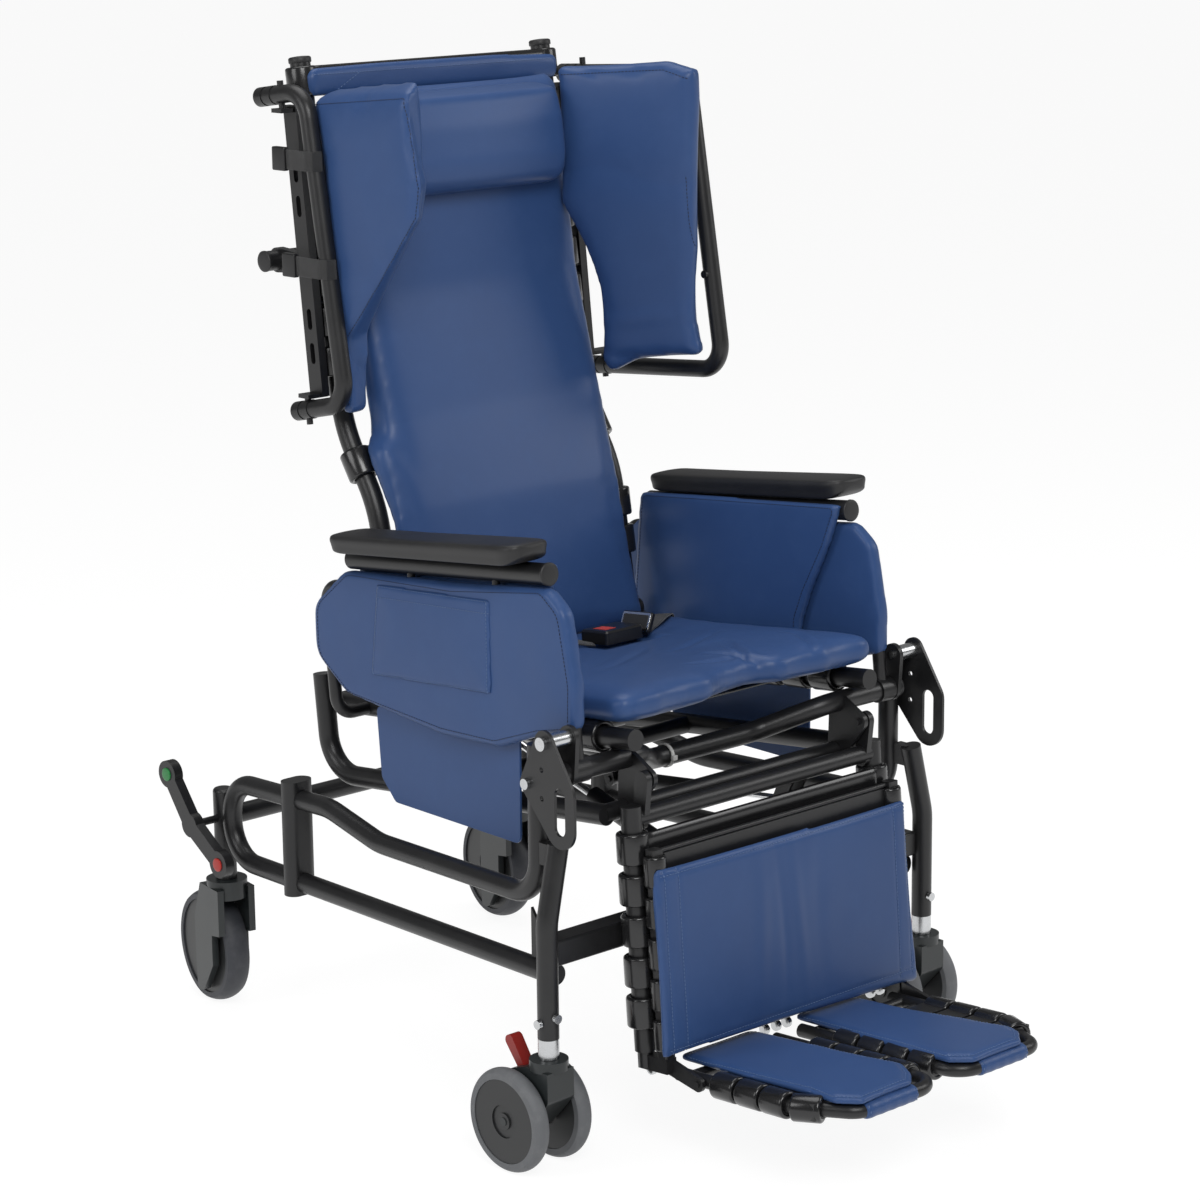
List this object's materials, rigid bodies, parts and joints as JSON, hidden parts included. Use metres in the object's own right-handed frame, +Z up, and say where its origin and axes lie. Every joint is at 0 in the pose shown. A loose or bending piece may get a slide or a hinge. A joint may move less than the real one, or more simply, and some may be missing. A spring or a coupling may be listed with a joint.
{
  "type": "tilt in space wheelchair",
  "caption": "Tilt-in-space wheelchair with a reclining winged back, an elevating legrest with flip-up footplates, padded arms, swivel casters and a lap belt.",
  "frame": {"origin": "on the floor, below the middle of the bounding box", "axes": "+Z up, +X to the sitter's left, -Y the way the chair faces"},
  "size_m": [0.727, 1.1685, 1.2499],
  "materials": {
    "powder_black": "satin",
    "vinyl_blue": "soft satin",
    "strap_black": "glossy",
    "pad_black": "matte",
    "webbing_black": "matte",
    "buckle_black": "satin",
    "button_red": "satin",
    "tab_red": "matte",
    "tyre_grey": "matte",
    "tyre_dark": "matte",
    "hub_dark": "matte",
    "fork_dark": "satin",
    "zinc": "bright",
    "rod_chrome": "polished"
  },
  "bodies": {
    "base": {"side_loop_left": "powder_black", "side_loop_right": "powder_black", "front_posts": "powder_black", "upright_bars": "powder_black", "tie_down_plates": "powder_black", "tilt_pivots": "zinc", "front_cross_tube": "powder_black", "rear_cross_tube": "powder_black", "rear_housings": "powder_black", "frame_bolts": "zinc", "front_stems": "zinc"},
    "seat": {"seat_frame": "powder_black", "seat_front_tube": "powder_black", "seat_straps": "strap_black", "arm_frames": "powder_black", "arm_pads": "pad_black", "side_covers": "vinyl_blue", "inner_covers": "vinyl_blue", "seat_cushion": "vinyl_blue", "lap_belt": "webbing_black", "buckle_housing": "buckle_black"},
    "button": {"buckle_button": "button_red"},
    "back": {"back_rails": "powder_black", "back_bars": "powder_black", "back_straps": "strap_black", "back_cushion": "vinyl_blue", "head_pillow": "vinyl_blue"},
    "wing_right": {"wing_tube_right": "powder_black", "wing_pad_right": "vinyl_blue"},
    "wing_left": {"wing_tube_left": "powder_black", "wing_pad_left": "vinyl_blue"},
    "legrest": {"leg_frame": "powder_black", "leg_straps": "strap_black"},
    "carriage": {"foot_carriage": "powder_black", "calf_pad": "vinyl_blue"},
    "foot_right": {"foot_frame_right": "powder_black", "foot_pad_right": "vinyl_blue"},
    "foot_left": {"foot_frame_left": "powder_black", "foot_pad_left": "vinyl_blue"},
    "lock": {"lock_bar": "powder_black"},
    "front_swivel_right": {"front_fork_right": "fork_dark"},
    "front_wheels_right": {"front_tyres_right": "tyre_grey", "front_hubs_right": "hub_dark"},
    "brake_right": {"brake_tab_right": "tab_red"},
    "rear_swivel_right": {"rear_fork_right": "fork_dark"},
    "rear_wheel_right": {"rear_tyre_right": "tyre_dark", "rear_hub_right": "hub_dark"},
    "front_swivel_left": {"front_fork_left": "fork_dark"},
    "front_wheels_left": {"front_tyres_left": "tyre_grey", "front_hubs_left": "hub_dark"},
    "brake_left": {"brake_tab_left": "tab_red"},
    "rear_swivel_left": {"rear_fork_left": "fork_dark"},
    "rear_wheel_left": {"rear_tyre_left": "tyre_dark", "rear_hub_left": "hub_dark"},
    "tilt_spring_tube": {"tilt_spring_cylinder": "powder_black"},
    "tilt_spring_rod": {"tilt_spring_rod": "rod_chrome"},
    "leg_spring_tube": {"leg_spring_cylinder": "powder_black"},
    "leg_spring_rod": {"leg_spring_rod": "rod_chrome"},
    "recline_spring_tube": {"recline_spring_cylinder": "powder_black"},
    "recline_spring_rod": {"recline_spring_rod": "rod_chrome"}
  },
  "joints": [
    {"name": "seat_tilt", "type": "hinge", "parent": "base", "child": "seat", "pos_m": [0, -0.2357, 0.512], "axis": [-1, 0, 0], "range_deg": [-1.5, 16]},
    {"name": "back_recline", "type": "hinge", "parent": "seat", "child": "back", "pos_m": [0, 0.1805, 0.47301], "axis": [-1, 0, 0], "range_deg": [0, 30]},
    {"name": "legrest_raise", "type": "hinge", "parent": "seat", "child": "legrest", "pos_m": [0, -0.26765, 0.44995], "axis": [-1, 0, 0], "range_deg": [0, 70]},
    {"name": "foot_extend", "type": "slide", "parent": "legrest", "child": "carriage", "axis": [0, -0.075, -0.9972], "range_m": [0, 0.04]},
    {"name": "foot_flip_right", "type": "hinge", "parent": "carriage", "child": "foot_right", "pos_m": [0, -0.36552, 0.10607], "axis": [-1, 0, 0], "range_deg": [0, 75]},
    {"name": "foot_flip_left", "type": "hinge", "parent": "carriage", "child": "foot_left", "pos_m": [0, -0.36552, 0.10607], "axis": [-1, 0, 0], "range_deg": [0, 75]},
    {"name": "wing_swing_right", "type": "hinge", "parent": "back", "child": "wing_right", "pos_m": [-0.24, 0.2725, 0.82301], "axis": [0, 0.0926, 0.9957], "range_deg": [-25, 2]},
    {"name": "wing_swing_left", "type": "hinge", "parent": "back", "child": "wing_left", "pos_m": [0.258, 0.2725, 0.82301], "axis": [0, 0.0926, 0.9957], "range_deg": [0, 40]},
    {"name": "button_press", "type": "slide", "parent": "seat", "child": "button", "axis": [0, 0.1028, 0.9947], "range_m": [-0.003, 0], "stiffness_N_per_m": 350},
    {"name": "lock_rock", "type": "hinge", "parent": "base", "child": "lock", "pos_m": [0, 0.4673, 0.262], "axis": [1, 0, 0], "range_deg": [-20, 20]},
    {"name": "front_swivel_right", "type": "hinge", "parent": "base", "child": "front_swivel_right", "pos_m": [-0.32, -0.2447, 0.13], "axis": [0, 0, 1], "continuous": true},
    {"name": "front_roll_right", "type": "hinge", "parent": "front_swivel_right", "child": "front_wheels_right", "pos_m": [-0.32, -0.2117, 0.0625], "axis": [1, 0, 0], "continuous": true},
    {"name": "brake_right", "type": "hinge", "parent": "front_swivel_right", "child": "brake_right", "pos_m": [-0.32, -0.2107, 0.111], "axis": [-1, 0, 0], "range_deg": [0, 30]},
    {"name": "rear_swivel_right", "type": "hinge", "parent": "base", "child": "rear_swivel_right", "pos_m": [-0.25, 0.4673, 0.2], "axis": [0, 0, 1], "continuous": true},
    {"name": "rear_roll_right", "type": "hinge", "parent": "rear_swivel_right", "child": "rear_wheel_right", "pos_m": [-0.24253, 0.50965, 0.075], "axis": [0.9848, -0.1736, 0], "continuous": true},
    {"name": "front_swivel_left", "type": "hinge", "parent": "base", "child": "front_swivel_left", "pos_m": [0.32, -0.2447, 0.13], "axis": [0, 0, 1], "continuous": true},
    {"name": "front_roll_left", "type": "hinge", "parent": "front_swivel_left", "child": "front_wheels_left", "pos_m": [0.32, -0.2117, 0.0625], "axis": [1, 0, 0], "continuous": true},
    {"name": "brake_left", "type": "hinge", "parent": "front_swivel_left", "child": "brake_left", "pos_m": [0.32, -0.2107, 0.111], "axis": [-1, 0, 0], "range_deg": [0, 30]},
    {"name": "rear_swivel_left", "type": "hinge", "parent": "base", "child": "rear_swivel_left", "pos_m": [0.25, 0.4673, 0.2], "axis": [0, 0, 1], "continuous": true},
    {"name": "rear_roll_left", "type": "hinge", "parent": "rear_swivel_left", "child": "rear_wheel_left", "pos_m": [0.25747, 0.50965, 0.075], "axis": [0.9848, -0.1736, 0], "continuous": true},
    {"name": "tilt_spring_turn", "type": "hinge", "parent": "base", "child": "tilt_spring_tube", "pos_m": [0, -0.1967, 0.26667], "axis": [-1, 0, 0], "range_deg": [-1.54, 15.91]},
    {"name": "tilt_spring_stroke", "type": "slide", "parent": "tilt_spring_tube", "child": "tilt_spring_rod", "axis": [0, 0.9591, 0.2831], "range_m": [-0.06932, 0.00668]},
    {"name": "leg_spring_turn", "type": "hinge", "parent": "seat", "child": "leg_spring_tube", "pos_m": [0.07, 0.05535, 0.33504], "axis": [-1, 0, 0], "range_deg": [-0.05, 1.52]},
    {"name": "leg_spring_stroke", "type": "slide", "parent": "leg_spring_tube", "child": "leg_spring_rod", "axis": [0, -0.9937, 0.1125], "range_m": [-0.0002, 0.09733]},
    {"name": "recline_spring_turn", "type": "hinge", "parent": "seat", "child": "recline_spring_tube", "pos_m": [-0.07, -0.14215, 0.42492], "axis": [-1, 0, 0], "range_deg": [-0.14, 0.05]},
    {"name": "recline_spring_stroke", "type": "slide", "parent": "recline_spring_tube", "child": "recline_spring_rod", "axis": [0, 0.9998, -0.0208], "range_m": [-0.02926, 0.0002]}
  ],
  "couplings": [
    {"joint": "tilt_spring_turn", "follows": "seat_tilt", "ratio": 0.991},
    {"joint": "tilt_spring_stroke", "follows": "seat_tilt", "m_per_rad": -0.2475},
    {"joint": "leg_spring_turn", "follows": "legrest_raise", "ratio": 0.021},
    {"joint": "leg_spring_stroke", "follows": "legrest_raise", "m_per_rad": 0.0795},
    {"joint": "recline_spring_turn", "follows": "back_recline", "ratio": -0.003},
    {"joint": "recline_spring_stroke", "follows": "back_recline", "m_per_rad": -0.0555}
  ]
}
